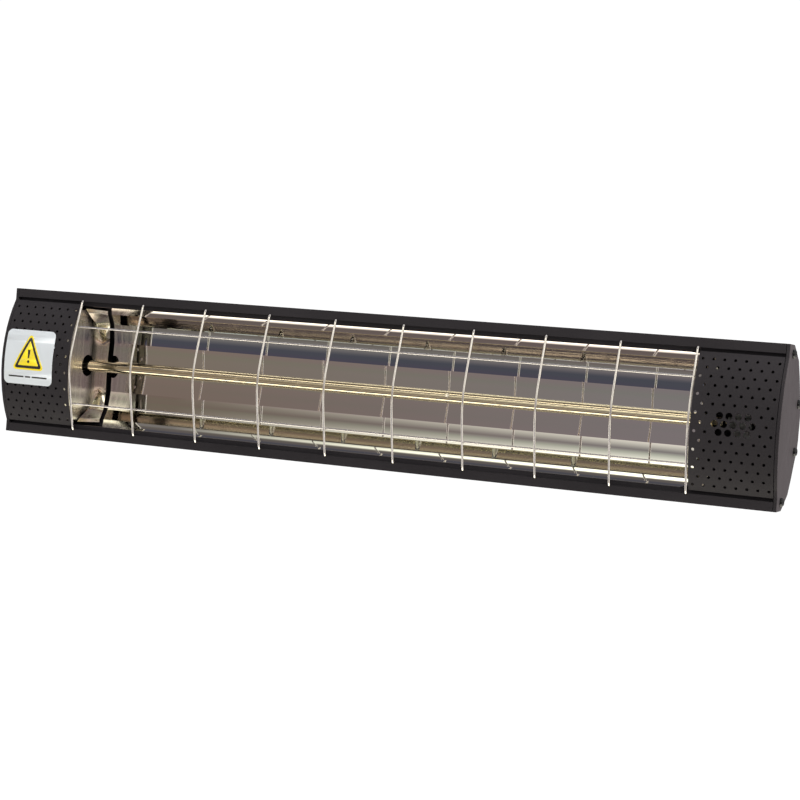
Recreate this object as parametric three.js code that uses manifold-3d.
// Wall-mounted infrared bar heater: one gold-coated quartz lamp in front of a polished trough,
// behind a wire guard, in a black housing that tilts on a wall bracket.
// Millimetres, +Z up, +X along the bar. The origin is the centre of the bracket's wall face.
// The heater itself is drawn in its own group, whose Y = 0 is the plane of the rail fronts.
import * as THREE from 'three';
import { mergeVertices } from 'three/addons/utils/BufferGeometryUtils.js';
import Module from 'manifold-3d';

const wasm = await Module();
wasm.setup();

// ---- driving dimensions -------------------------------------------------------------------
const LENGTH = 735;
const HALF_HEIGHT = 68.2;
const WALL_DISTANCE = 115;        // rail fronts to wall face
const GAP = 0.3;                  // clearance kept between neighbouring pieces

const END_PLATE = 3;              // thickness
const END_INNER = LENGTH / 2 - END_PLATE;
const HOUSING_END = END_INNER - GAP;
const SHEET = 1.8;                // housing wall
const HOUSING_BACK = 77;
const RAIL_INNER = 60.2;          // height where the rail's front face ends
const BOW_HALF = 57.5;            // height where the bowed front meets the rails' plane
const LIP_Y = 5;                  // recessed lip behind the rail
const LIP_EDGE = 56;              // height where the lip ends
const FRONT_RADIUS = 112.5;       // bow of the guard, grilles and end plates
const FRONT_BULGE = 15.8;
const FRONT_CENTRE = FRONT_RADIUS - FRONT_BULGE;

const GRILLE_INNER = 294.5;
const GRILLE_SHEET = 1.2;
const BIG_HOLE = 3;               // radius
const LABEL = { inner: 311.5, outer: 364, low: -22.2, high: 29.5, sheet: 0.4 };

const LAMP_Y = 31.5;
const LAMP_RADIUS = 5;
const LAMP_BORE = 4;
const LAMP_HALF = 316;
const CAP = { radius: 6, length: 21 };
const FILAMENT = { radius: 0.9, half: 300 };

const TROUGH_SHEET = 0.8;
const END_REFLECTOR_X = 302;
const TROUGH_HALF = 55.8;         // height of the trough's side walls
const END_CORNER = { from: 20, to: 54, draw: 20 };  // how an end reflector's corners come forward
const END_SCALE = 0.99;           // the end reflectors sit just inside the trough's section
const LAMP_HOLE = 10.3;           // radius
const PLATE_BACK_HALF = 42;       // up to here an end reflector's plate follows its flange
const EDGE_HALF = 60;             // the reflectors' bowed edges run out between these heights
const TROUGH_END = { base: 285.4, rise: 3.9 };
const FLANGE_END = { base: 289.5, rise: 5.5 };

const WIRE_RADIUS = 1;
const WIRE_COUNT = 10;
const WIRE_PITCH = 65.06;
const WIRE_END = 60;
const WIRE_STAND = 1.3;           // wire centre in front of the rail
const WIRE_BULGE = 14;
const WIRE_CROWN = 0.25;          // roundness of the wires' crown
const ROD_HEIGHT = 36;

const SCREW = { head: 3.7, headLength: 3, shank: 1.5, length: 14 };
const PORTS = [[15, 60.5], [58.5, 20]];         // screw ports, mirrored in height
const PORT_RADIUS = 3.5;
const PORT_BORE = 1.9;
const BACK_PORT_START = 304;      // the back ports are short bosses behind the end reflectors

const PIVOT_Y = 95;
const PIVOT_BOLT = { radius: 3, head: 6.5, headLength: 3.2 };
const PIVOT_BORE = 3.4;
const LUG = { x: 125.5, sheet: 2.5, foot: 22, half: 9, screwX: 113.5, screwZ: 5, bore: 2.2 };
const BRACKET = { x: 126, sheet: 2.5, half: 20, ear: 12, slotX: 80 };
const WASHER = { radius: 9, thickness: 1.5 };
const KNOB = { radius: 16, length: 16, lobes: 6, lobe: 2 };
const GLAND = { x: -270, bore: 3.4, thread: 6, hex: 9.5 };
const EARTH_X = -308;

// ---- materials ----------------------------------------------------------------------------
const material = (color, roughness, metalness) =>
  new THREE.MeshStandardMaterial({ color, roughness, metalness });
const powderCoat = () => material(0x3a383b, 0.6, 0.2);
const polished = () => material(0xd9d6cf, 0.08, 1);
const wireSteel = () => material(0xcfc8bf, 0.2, 1);
const blackSteel = () => material(0x1c1b1c, 0.45, 0.6);
const zincSteel = () => material(0xa9abad, 0.4, 0.9);
const blackPlastic = () => material(0x161616, 0.6, 0);
const ceramic = () => material(0xdfd9cc, 0.7, 0);

// ---- helpers ------------------------------------------------------------------------------
const axis = {
  x: new THREE.Vector3(1, 0, 0),
  y: new THREE.Vector3(0, 1, 0),
  z: new THREE.Vector3(0, 0, 1),
};
const alongX = new THREE.Matrix4().makeBasis(axis.y, axis.z, axis.x);
const alongY = new THREE.Matrix4().makeBasis(axis.x, axis.z, axis.y.clone().negate());

function outline(points) {
  return new THREE.Shape(points.map(([u, v]) => new THREE.Vector2(u, v)));
}

function disc(radius, sides, [u, v] = [0, 0]) {
  const points = [];
  for (let i = 0; i < sides; i++) {
    const angle = (i + 0.5) * 2 * Math.PI / sides;
    points.push([u + radius * Math.cos(angle), v + radius * Math.sin(angle)]);
  }
  return outline(points);
}

function extrude(shape, depth) {
  return new THREE.ExtrudeGeometry(shape, { depth, bevelEnabled: false, curveSegments: 12 });
}

// A shape drawn in (Y, Z), from x0 to x1.
function extrudeX(shape, x0, x1) {
  return extrude(shape, x1 - x0).applyMatrix4(alongX).translate(x0, 0, 0);
}

// A shape drawn in (X, Z), from y0 to y1.
function extrudeY(shape, y0, y1) {
  return extrude(shape, y1 - y0).applyMatrix4(alongY).translate(0, y1, 0);
}

function solid(geometry) {
  const bare = new THREE.BufferGeometry();
  const source = geometry.index ? geometry.toNonIndexed() : geometry;
  bare.setAttribute('position', source.getAttribute('position').clone());
  const merged = mergeVertices(bare, 1e-4);
  return new wasm.Manifold(new wasm.Mesh({
    numProp: 3,
    vertProperties: new Float32Array(merged.getAttribute('position').array),
    triVerts: new Uint32Array(merged.index.array),
  }));
}

function geometryOf(manifold) {
  const mesh = manifold.getMesh();
  const geometry = new THREE.BufferGeometry();
  geometry.setAttribute('position', new THREE.BufferAttribute(mesh.vertProperties, 3));
  geometry.setIndex(new THREE.BufferAttribute(mesh.triVerts, 1));
  geometry.computeVertexNormals();
  return geometry;
}

// The mirror image in X of a geometry, its faces still pointing out.
function mirrorX(geometry) {
  const twin = geometry.clone().scale(-1, 1, 1);
  return twin.setIndex([...twin.index.array].reverse());
}

function join(...geometries) {
  return geometries.map(solid).reduce((whole, piece) => whole.add(piece));
}

function cut(base, ...cutters) {
  const start = base instanceof wasm.Manifold ? base : solid(base);
  return cutters.reduce((whole, cutter) => whole.subtract(solid(cutter)), start);
}

function place(group, name, shape, look) {
  const geometry = shape instanceof wasm.Manifold ? geometryOf(shape) : shape;
  const mesh = new THREE.Mesh(geometry, look);
  mesh.name = name;
  group.add(mesh);
  return mesh;
}

// The closed outline of a sheet: an open line of points and the same line set off to its left.
function sheetOutline(line, thickness) {
  const points = line.map(([u, v]) => new THREE.Vector2(u, v));
  const offset = points.map((point, i) => {
    const before = points[Math.max(i - 1, 0)];
    const after = points[Math.min(i + 1, points.length - 1)];
    const into = point.clone().sub(before).normalize();
    const out = after.clone().sub(point).normalize();
    const normalIn = i === 0 ? new THREE.Vector2(-out.y, out.x) : new THREE.Vector2(-into.y, into.x);
    const normalOut = i === points.length - 1 ? normalIn : new THREE.Vector2(-out.y, out.x);
    const mitre = normalIn.clone().add(normalOut).normalize();
    return point.clone().addScaledVector(mitre, thickness / mitre.dot(normalIn));
  });
  return new THREE.Shape([...points, ...offset.reverse()]);
}

const mirrored = (half) => [...half, ...half.map(([y, z]) => [y, -z]).reverse()];
const sides = [['left', -1], ['right', 1]];

// Puts a shape's x range on either side of the middle.
function sideExtrudeX(shape, side, inner, outer) {
  return side < 0 ? extrudeX(shape, -outer, -inner) : extrudeX(shape, inner, outer);
}

// ---- housing ------------------------------------------------------------------------------
const BACK_LINE = [
  [21, HALF_HEIGHT], [47, 56], [57, 44], [68, 28], [75, 19], [HOUSING_BACK, 11],
];

function bow(radius, halfHeight, steps) {
  const reach = Math.asin(halfHeight / radius);
  const points = [];
  for (let i = 0; i <= steps; i++) {
    const angle = reach * (2 * i / steps - 1);
    points.push([FRONT_CENTRE - radius * Math.cos(angle), radius * Math.sin(angle)]);
  }
  return points;
}

function rearHousing() {
  const half = [
    [LIP_Y, LIP_EDGE], [LIP_Y, RAIL_INNER], [0, RAIL_INNER], [0, HALF_HEIGHT], ...BACK_LINE,
  ];
  const shell = sheetOutline(mirrored(half), -SHEET);
  const cutters = [];
  const solids = [extrudeX(shell, -HOUSING_END, HOUSING_END)];
  for (const [y, z] of PORTS) {
    const isFront = z > 40;
    const spans = isFront
      ? [[-HOUSING_END, HOUSING_END]]
      : [[-HOUSING_END, -BACK_PORT_START], [BACK_PORT_START, HOUSING_END]];
    const web = isFront
      ? [[y - 1.5, z], [y + 1.5, z], [y + 1.5, HALF_HEIGHT - 1], [y - 1.5, HALF_HEIGHT - 1]]
      : [[y, z - 1], [74, z - 1], [74, z + 1], [y, z + 1]];
    for (const sign of [-1, 1]) {
      const webShape = outline(web.map(([u, v]) => [u, sign * v]));
      for (const [start, end] of spans) {
        solids.push(extrudeX(disc(PORT_RADIUS, 12, [y, sign * z]), start, end));
        solids.push(extrudeX(webShape, start, end));
      }
      cutters.push(extrudeX(disc(PORT_BORE, 8, [y, sign * z]), -LENGTH, LENGTH));
    }
  }
  const through = (x, z, radius) => extrudeY(disc(radius, 12, [x, z]), 60, 90);
  cutters.push(through(GLAND.x, 0, GLAND.thread + 0.5));
  cutters.push(through(EARTH_X, 0, 2.5));
  for (const [, side] of sides) {
    for (const z of [-LUG.screwZ, LUG.screwZ]) cutters.push(through(side * LUG.screwX, z, LUG.bore));
  }
  return cut(join(...solids), ...cutters);
}

function endPlate(side) {
  const front = bow(FRONT_RADIUS, BOW_HALF, 12);
  const shape = outline([
    ...front, [0, HALF_HEIGHT], ...mirrored(BACK_LINE), [0, -HALF_HEIGHT],
  ]);
  const holes = [];
  for (const [y, z] of PORTS) {
    for (const sign of [-1, 1]) {
      holes.push(extrudeX(disc(PORT_BORE, 8, [y, sign * z]), -LENGTH, LENGTH));
    }
  }
  return cut(sideExtrudeX(shape, side, END_INNER, LENGTH / 2), ...holes);
}

// A pan-head screw along X, its head outside the end plate.
function endScrew(side) {
  const face = LENGTH / 2 + GAP;
  const tip = face + SCREW.headLength;
  const dome = face + SCREW.headLength * 0.55;
  const profile = [
    [0, face - SCREW.length], [SCREW.shank, face - SCREW.length], [SCREW.shank, face],
    [SCREW.head, face], [SCREW.head, dome], [SCREW.head * 0.6, tip], [0, tip],
  ].map(([r, h]) => new THREE.Vector2(r, h));
  return new THREE.LatheGeometry(profile, 10).rotateZ(side < 0 ? Math.PI / 2 : -Math.PI / 2);
}

// ---- front --------------------------------------------------------------------------------
const BIG_HOLES = [
  ...[314.4, 322, 329.6, 337.3, 345].map((x) => [x, -1]),
  ...[318.1, 325.8, 333.5, 341.2].flatMap((x) => [[x, 5.85], [x, -7.75]]),
];

function grille(side) {
  const edge = BOW_HALF - GAP;
  const line = [[4.6, -edge], ...bow(FRONT_RADIUS, edge, 14), [4.6, edge]];
  const sheet = sideExtrudeX(sheetOutline(line, -GRILLE_SHEET), side, GRILLE_INNER, HOUSING_END);
  const holes = BIG_HOLES.map(([x, z]) => extrudeY(disc(BIG_HOLE, 10, [side * x, z]), -30, 10));
  return cut(sheet, ...holes);
}

function label() {
  const radius = FRONT_RADIUS + GAP + LABEL.sheet;
  const line = bow(radius, 40, 20);
  const band = extrudeX(sheetOutline(line, -LABEL.sheet), -LENGTH, 0);
  const corner = 5;
  const face = new THREE.Shape();
  const [x0, x1, z0, z1] = [-LABEL.outer, -LABEL.inner, LABEL.low, LABEL.high];
  face.moveTo(x0 + corner, z0);
  face.lineTo(x1 - corner, z0).absarc(x1 - corner, z0 + corner, corner, -Math.PI / 2, 0);
  face.lineTo(x1, z1 - corner).absarc(x1 - corner, z1 - corner, corner, 0, Math.PI / 2);
  face.lineTo(x0 + corner, z1).absarc(x0 + corner, z1 - corner, corner, Math.PI / 2, Math.PI);
  face.lineTo(x0, z0 + corner).absarc(x0 + corner, z0 + corner, corner, Math.PI, 1.5 * Math.PI);
  const blank = new THREE.ExtrudeGeometry(face, { depth: 40, bevelEnabled: false, curveSegments: 4 });
  return solid(band).intersect(solid(blank.applyMatrix4(alongY).translate(0, 10, 0)));
}

function sweep(points, radius, facets, steps) {
  const path = new THREE.CatmullRomCurve3(points.map((p) => new THREE.Vector3(...p)));
  return new THREE.ExtrudeGeometry(disc(radius, facets), { steps, extrudePath: path });
}

// Distance of a guard wire in front of the rails at a height: straight flanks, round crown.
function wireBow(z) {
  const drop = Math.hypot(z / WIRE_END, WIRE_CROWN) - WIRE_CROWN;
  return WIRE_BULGE * (1 - drop / (Math.hypot(1, WIRE_CROWN) - WIRE_CROWN));
}

function guardWire(x) {
  const points = [];
  for (let i = 0; i <= 12; i++) {
    const z = WIRE_END * (i / 6 - 1);
    points.push([x, -WIRE_STAND - wireBow(z), z]);
  }
  return sweep(points, WIRE_RADIUS, 6, 14);
}

// ---- reflector ----------------------------------------------------------------------------
// Half section of the trough from its middle to its side wall: a nearly flat back, two hollow
// facets and a narrow rim facet.
const TROUGH_BACK = [
  [55.8, 0], [55.7, 12], [55.4, 23.5], [53.3, 32], [50.4, 41], [46.7, 46], [42.7, 50.5],
  [40.4, TROUGH_HALF],
];
const TROUGH_LINE = [...TROUGH_BACK, [7, TROUGH_HALF]];

// Where an edge that runs out at mid-height stands at a height.
const bowedEdge = ({ base, rise }, z) => base + rise * (1 - (z / EDGE_HALF) ** 2);

// An (X, Z) outline from a bowed edge out to x.
function beyondEdge(edge, x) {
  const points = [];
  for (let i = 0; i <= 12; i++) {
    const z = EDGE_HALF * (i / 6 - 1);
    points.push([bowedEdge(edge, z), z]);
  }
  return [...points, [x, EDGE_HALF], [x, -EDGE_HALF]];
}

function trough() {
  const half = [...TROUGH_LINE].reverse();
  const line = [...half, ...TROUGH_LINE.slice(1).map(([y, z]) => [y, -z])];
  const sheet = solid(extrudeX(sheetOutline(line, TROUGH_SHEET), -295, 295));
  const ends = sides.map(([, side]) =>
    outline(beyondEdge(TROUGH_END, 310).map(([x, z]) => [side * x, z])));
  return ends.reduce((rest, shape) => rest.subtract(solid(extrudeY(shape, 0, 80))), sheet);
}

// Depth of the trough's back at a height.
function troughDepth(z) {
  const height = Math.abs(z);
  const next = TROUGH_BACK.findIndex(([, top]) => top >= height && top > 0);
  const [[y0, z0], [y1, z1]] = [TROUGH_BACK[next - 1], TROUGH_BACK[next]];
  return y0 + (y1 - y0) * (height - z0) / (z1 - z0);
}

// Depth of an end reflector's back: the trough's section with its corners drawn forward.
function endDepth(z) {
  const { from, to, draw } = END_CORNER;
  const share = Math.max(0, (Math.abs(z) - from) / (to - from));
  return troughDepth(z * END_SCALE) - draw * share ** 1.3;
}

// Moves an open (y, z) line off to its left.
function offsetLine(line, distance) {
  return line.map(([y, z], i) => {
    const [y0, z0] = line[Math.max(i - 1, 0)];
    const [y1, z1] = line[Math.min(i + 1, line.length - 1)];
    const length = Math.hypot(y1 - y0, z1 - z0);
    return [y - (z1 - z0) / length * distance, z + (y1 - y0) / length * distance];
  });
}

// A closed sheet between two open lines of (x, y, z) points and their set-off copies.
function loftSheet(rows) {
  const count = rows[0].length;
  const triangles = [];
  const quad = (a, b, c, d) => triangles.push(a, c, b, a, d, c);
  for (let row = 0; row < rows.length; row++) {
    const here = row * count;
    const there = ((row + 1) % rows.length) * count;
    for (let i = 0; i < count - 1; i++) quad(here + i, here + i + 1, there + i + 1, there + i);
  }
  quad(0, count, 2 * count, 3 * count);
  quad(4 * count - 1, 3 * count - 1, 2 * count - 1, count - 1);
  const geometry = new THREE.BufferGeometry();
  geometry.setAttribute('position', new THREE.Float32BufferAttribute(rows.flat(2), 3));
  geometry.setIndex(triangles);
  return geometry;
}

function endBack() {
  const line = [];
  const steps = 24;
  for (let i = 0; i <= steps; i++) {
    const z = END_CORNER.to * (1 - 2 * i / steps);
    line.push([endDepth(z), z]);
  }
  return line;
}

// The flange of an end reflector: it runs from the plate's back to the trough's section.
function endFlange(back) {
  const near = endBack();
  const far = near.map(([, z]) => [troughDepth(z * END_SCALE), z * END_SCALE]);
  const edge = (z) => bowedEdge(FLANGE_END, z);
  return loftSheet([
    near.map(([y, z]) => [back, y, z]),
    far.map(([y, z]) => [edge(z), y, z]),
    offsetLine(far, TROUGH_SHEET).map(([y, z]) => [edge(z), y, z]),
    offsetLine(near, TROUGH_SHEET).map(([y, z]) => [back, y, z]),
  ]);
}

// A polished plate with the lamp hole, and a flange around its back that meets the trough.
function endReflector(side) {
  const back = END_REFLECTOR_X + TROUGH_SHEET;
  const follows = ([, z]) => Math.abs(z) < PLATE_BACK_HALF;
  const rim = offsetLine(endBack(), TROUGH_SHEET / 2).filter(follows);
  const plate = outline([
    ...bow(FRONT_RADIUS - 3.5, 51.5, 10), [20, 52.5], [31, 44], ...rim, [31, -44], [20, -52.5],
  ]);
  const disk = extrudeX(plate, END_REFLECTOR_X, back);
  const hole = extrudeX(disc(LAMP_HOLE, 24, [LAMP_Y, 0]), -LENGTH, LENGTH);
  const right = geometryOf(cut(join(endFlange(back + 0.2), disk), hole));
  return side < 0 ? mirrorX(right) : right;
}

// ---- lamp ---------------------------------------------------------------------------------
function pipe(outer, inner, x0, x1, facets) {
  const ring = disc(outer, facets, [LAMP_Y, 0]);
  if (inner > 0) ring.holes.push(disc(inner, facets, [LAMP_Y, 0]));
  return extrudeX(ring, x0, x1);
}

function lampCap(side) {
  const inner = LAMP_HALF + GAP;
  return sideExtrudeX(disc(CAP.radius, 12, [LAMP_Y, 0]), side, inner, inner + CAP.length);
}

// A U-shaped steel bracket behind the ceramic cap, with two short arms that hold the cap.
function lampHolder(side) {
  const [armIn, armOut, legOut, sheet] = [6.4, 7.6, 13.6, 1.2];
  const base = LAMP_Y + CAP.radius + 0.5;
  const half = [
    [base, 0], [base, armIn], [base - 9, armIn], [base - 9, armOut], [base, armOut],
    [base, legOut], [HOUSING_BACK - SHEET - 2.2, legOut],
    [HOUSING_BACK - SHEET - 2.2, legOut - sheet], [base + sheet, legOut - sheet],
    [base + sheet, 0],
  ];
  const shape = outline([...half, ...half.slice(1, -1).map(([y, z]) => [y, -z]).reverse()]);
  return sideExtrudeX(shape, side, LAMP_HALF + 4, LAMP_HALF + 18);
}

// ---- wiring -------------------------------------------------------------------------------
const TERMINAL = { x0: -361, x1: -343, y0: 58, y1: 72.8, half: 11 };

function terminalBlock() {
  const { x0, x1, y0, y1, half } = TERMINAL;
  const body = extrudeX(outline([
    [y1, -half], [y1, half], [y0 + 3, half], [y0, half - 3], [y0, 3 - half], [y0 + 3, -half],
  ]), x0, x1);
  const wells = [-5.5, 5.5].map((z) => extrudeY(disc(2, 8, [(x0 + x1) / 2, z]), y0 - 1, y0 + 6));
  const inlets = [-5.5, 5.5].map((z) => extrudeX(disc(1.9, 8, [66, z]), x1 - 6, x1 + 1));
  return cut(body, ...wells, ...inlets);
}

const LEAD_RADIUS = 1.3;
const CAP_END = LAMP_HALF + GAP + CAP.length + 3 * GAP;

function leftLead() {
  return sweep([
    [-CAP_END, LAMP_Y, 0], [-CAP_END - 5, LAMP_Y + 1, 0], [-CAP_END - 8, 40, 4],
    [-CAP_END - 3, 52, 9], [-CAP_END + 6, 61, 8.5], [-CAP_END + 5, 66, 5.7], [TERMINAL.x1 - 4, 66, 5.5],
  ], LEAD_RADIUS, 6, 18);
}

function rightLead() {
  return sweep([
    [CAP_END, LAMP_Y, 0], [CAP_END + 6, LAMP_Y + 2, 0], [CAP_END + 8, 45, 0], [CAP_END, 60, 0],
    [325, 66, 0], [200, 66, 0], [60, 66, 0], [-80, 66, 0], [-220, 66, 0], [-300, 66, -1],
    [-325, 66, -5], [TERMINAL.x1 - 4, 66, -5.5],
  ], LEAD_RADIUS, 6, 44);
}

// Turned pieces whose axis runs along +Y, drawn as (radius, y).
function turnedY(points, facets) {
  return new THREE.LatheGeometry(points.map(([r, h]) => new THREE.Vector2(r, h)), facets);
}

function glandBody() {
  const { bore, thread, hex } = GLAND;
  const wallOut = HOUSING_BACK + GAP;
  const sleeve = turnedY([
    [bore, 70], [thread, 70], [thread, wallOut], [hex, wallOut], [hex, wallOut + 5],
    [thread, wallOut + 5], [thread, wallOut + 12], [bore, wallOut + 12], [bore, 70],
  ], 12);
  return sleeve.translate(GLAND.x, 0, 0);
}

function glandNut() {
  const top = HOUSING_BACK - SHEET - GAP;
  const hex = disc(9, 6, [GLAND.x, 0]);
  hex.holes.push(disc(GLAND.thread + 0.6, 12, [GLAND.x, 0]));
  return extrudeY(hex, top - 3.5, top);
}

function glandDome() {
  const inner = GLAND.thread + 0.4;
  const from = HOUSING_BACK + GAP + 5.3;
  return turnedY([
    [inner, from], [9, from], [9, from + 8], [6.5, from + 11], [GLAND.bore, from + 11],
    [GLAND.bore, from + 7.2], [inner, from + 7.2], [inner, from],
  ], 12).translate(GLAND.x, 0, 0);
}

function earthScrew() {
  const head = HOUSING_BACK - SHEET - GAP;
  return turnedY([
    [0, head - 2.8], [4, head - 2.8], [4, head], [2, head], [2, HOUSING_BACK + 3], [0, HOUSING_BACK + 3],
  ], 10).translate(EARTH_X, 0, 0);
}

// ---- pivot and wall bracket ---------------------------------------------------------------
// An ear in (Y, Z) with a round end about the pivot, running back or forward to a root line.
function earShape(radius, rootY, toWall) {
  const shape = new THREE.Shape();
  const start = toWall ? Math.PI / 2 : -Math.PI / 2;
  shape.moveTo(rootY, toWall ? radius : -radius);
  shape.absarc(PIVOT_Y, 0, radius, start, start + Math.PI);
  shape.lineTo(rootY, toWall ? -radius : radius);
  return shape;
}

const pivotBore = () => extrudeX(disc(PIVOT_BORE, 16, [PIVOT_Y, 0]), -LENGTH, LENGTH);

function tiltLug(side) {
  const from = HOUSING_BACK + GAP;
  const ear = sideExtrudeX(earShape(LUG.half, from, false), side, LUG.x - LUG.sheet, LUG.x);
  const foot = sideExtrudeX(outline([
    [from, -LUG.half], [from + LUG.sheet, -LUG.half], [from + LUG.sheet, LUG.half], [from, LUG.half],
  ]), side, LUG.x - LUG.foot, LUG.x - 0.5);
  const holes = [-LUG.screwZ, LUG.screwZ].map((z) =>
    extrudeY(disc(LUG.bore, 10, [side * LUG.screwX, z]), 70, 90));
  return cut(join(ear, foot), pivotBore(), ...holes);
}

function lugScrew() {
  const seat = HOUSING_BACK + GAP + LUG.sheet + GAP;
  return turnedY([
    [0, 71], [1.8, 71], [1.8, seat], [3.4, seat], [3.4, seat + 1.4], [2, seat + 2.4], [0, seat + 2.4],
  ], 10);
}

function pivotBolt(side) {
  const { radius, head, headLength } = PIVOT_BOLT;
  const seat = LUG.x - LUG.sheet - GAP;
  const tip = BRACKET.x + BRACKET.sheet + WASHER.thickness + 14;
  const shank = extrudeX(disc(radius, 12, [PIVOT_Y, 0]), seat - 1, tip);
  const hex = extrudeX(disc(head, 6, [PIVOT_Y, 0]), seat - headLength, seat);
  const bolt = join(shank, hex);
  return side < 0 ? bolt.mirror([1, 0, 0]) : bolt;
}

function washer(side) {
  const from = BRACKET.x + BRACKET.sheet + GAP;
  const ring = disc(WASHER.radius, 16, [PIVOT_Y, 0]);
  ring.holes.push(disc(PIVOT_BORE, 16, [PIVOT_Y, 0]));
  return sideExtrudeX(ring, side, from, from + WASHER.thickness);
}

function wallBracket() {
  const back = WALL_DISTANCE;
  const outer = BRACKET.x + BRACKET.sheet;
  const plate = extrudeY(outline([
    [-outer, -BRACKET.half], [outer, -BRACKET.half], [outer, BRACKET.half], [-outer, BRACKET.half],
  ]), back - BRACKET.sheet, back);
  const ears = sides.map(([, side]) =>
    sideExtrudeX(earShape(BRACKET.ear, back - 0.5, true), side, BRACKET.x, outer));
  const slots = sides.map(([, side]) => {
    const slot = new THREE.Shape();
    slot.absarc(side * BRACKET.slotX + 4, 0, 3.25, -Math.PI / 2, Math.PI / 2);
    slot.absarc(side * BRACKET.slotX - 4, 0, 3.25, Math.PI / 2, 1.5 * Math.PI);
    return extrudeY(slot, back - 10, back + 10);
  });
  return cut(join(plate, ...ears), pivotBore(), ...slots);
}

function tiltKnob(side) {
  const shape = new THREE.Shape();
  const count = KNOB.lobes * 8;
  for (let i = 0; i < count; i++) {
    const angle = i * 2 * Math.PI / count;
    const radius = KNOB.radius - KNOB.lobe * (1 - Math.cos(KNOB.lobes * angle)) / 2 - 0.01;
    const [u, v] = [PIVOT_Y + radius * Math.cos(angle), radius * Math.sin(angle)];
    if (i === 0) shape.moveTo(u, v);
    else shape.lineTo(u, v);
  }
  const from = BRACKET.x + BRACKET.sheet + WASHER.thickness + 2 * GAP;
  const grip = sideExtrudeX(shape, side, from + 4, from + KNOB.length);
  const neck = sideExtrudeX(disc(WASHER.radius, 20, [PIVOT_Y, 0]), side, from, from + 4.5);
  const bore = sideExtrudeX(disc(PIVOT_BORE, 16, [PIVOT_Y, 0]), side, from - 1, from + 14);
  return cut(join(neck, grip), bore);
}

// ---- assembly -----------------------------------------------------------------------------
const model = new THREE.Group();
const heater = new THREE.Group();
heater.position.y = -WALL_DISTANCE;
model.add(heater);

place(heater, 'rear_housing', rearHousing(), powderCoat());
place(heater, 'reflector_trough', trough(), polished());
place(heater, 'warning_label', label(), material(0xe4e3ec, 0.4, 0));

for (const [name, side] of sides) {
  place(heater, `${name}_end_plate`, endPlate(side), powderCoat());
  place(heater, `${name}_grille`, grille(side), powderCoat());
  place(heater, `${name}_end_reflector`, endReflector(side), polished());
  place(heater, `${name}_lamp_cap`, lampCap(side), ceramic());
  place(heater, `${name}_lamp_holder`, lampHolder(side), zincSteel());
  PORTS.forEach(([y, z], row) => {
    for (const [height, sign] of [['upper', 1], ['lower', -1]]) {
      const depth = row === 0 ? 'front' : 'back';
      const screw = place(heater, `${name}_${height}_${depth}_screw`, endScrew(side), blackSteel());
      screw.position.set(0, y, sign * z);
    }
  });
  place(heater, `${name}_tilt_lug`, tiltLug(side), blackSteel());
  for (const [height, z] of [['upper', LUG.screwZ], ['lower', -LUG.screwZ]]) {
    const screw = place(heater, `${name}_${height}_lug_screw`, lugScrew(), zincSteel());
    screw.position.set(side * LUG.screwX, 0, z);
  }
  place(heater, `${name}_pivot_bolt`, pivotBolt(side), zincSteel());
  place(heater, `${name}_pivot_washer`, washer(side), zincSteel());
  place(heater, `${name}_tilt_knob`, tiltKnob(side), blackPlastic());
}

place(heater, 'lamp_tube', pipe(LAMP_RADIUS, LAMP_BORE, -LAMP_HALF, LAMP_HALF, 16),
  material(0xc9a25a, 0.1, 0.6));
place(heater, 'lamp_filament', pipe(FILAMENT.radius, 0, -FILAMENT.half, FILAMENT.half, 6),
  material(0x55504a, 0.5, 1));

for (let i = 0; i < WIRE_COUNT; i++) {
  const x = (i - (WIRE_COUNT - 1) / 2) * WIRE_PITCH;
  place(heater, `guard_wire_${i + 1}`, guardWire(x), wireSteel());
}
const rodY = -WIRE_STAND - wireBow(ROD_HEIGHT) + 2 * WIRE_RADIUS + 0.5;
const rodEnd = (WIRE_COUNT - 1) / 2 * WIRE_PITCH;
for (const [height, sign] of [['upper', 1], ['lower', -1]]) {
  place(heater, `${height}_guard_rod`,
    extrudeX(disc(WIRE_RADIUS, 8, [rodY, sign * ROD_HEIGHT]), -rodEnd, rodEnd), wireSteel());
}

place(heater, 'terminal_block', terminalBlock(), ceramic());
place(heater, 'left_lamp_lead', leftLead(), material(0xe8e4da, 0.8, 0));
place(heater, 'right_lamp_lead', rightLead(), material(0xe8e4da, 0.8, 0));
place(heater, 'earth_screw', earthScrew(), material(0xb08d45, 0.35, 1));
place(heater, 'cable_gland_body', glandBody(), blackPlastic());
place(heater, 'cable_gland_nut', glandNut(), blackPlastic());
place(heater, 'cable_gland_dome', glandDome(), blackPlastic());
place(heater, 'wall_bracket', wallBracket(), blackSteel());

export default model;
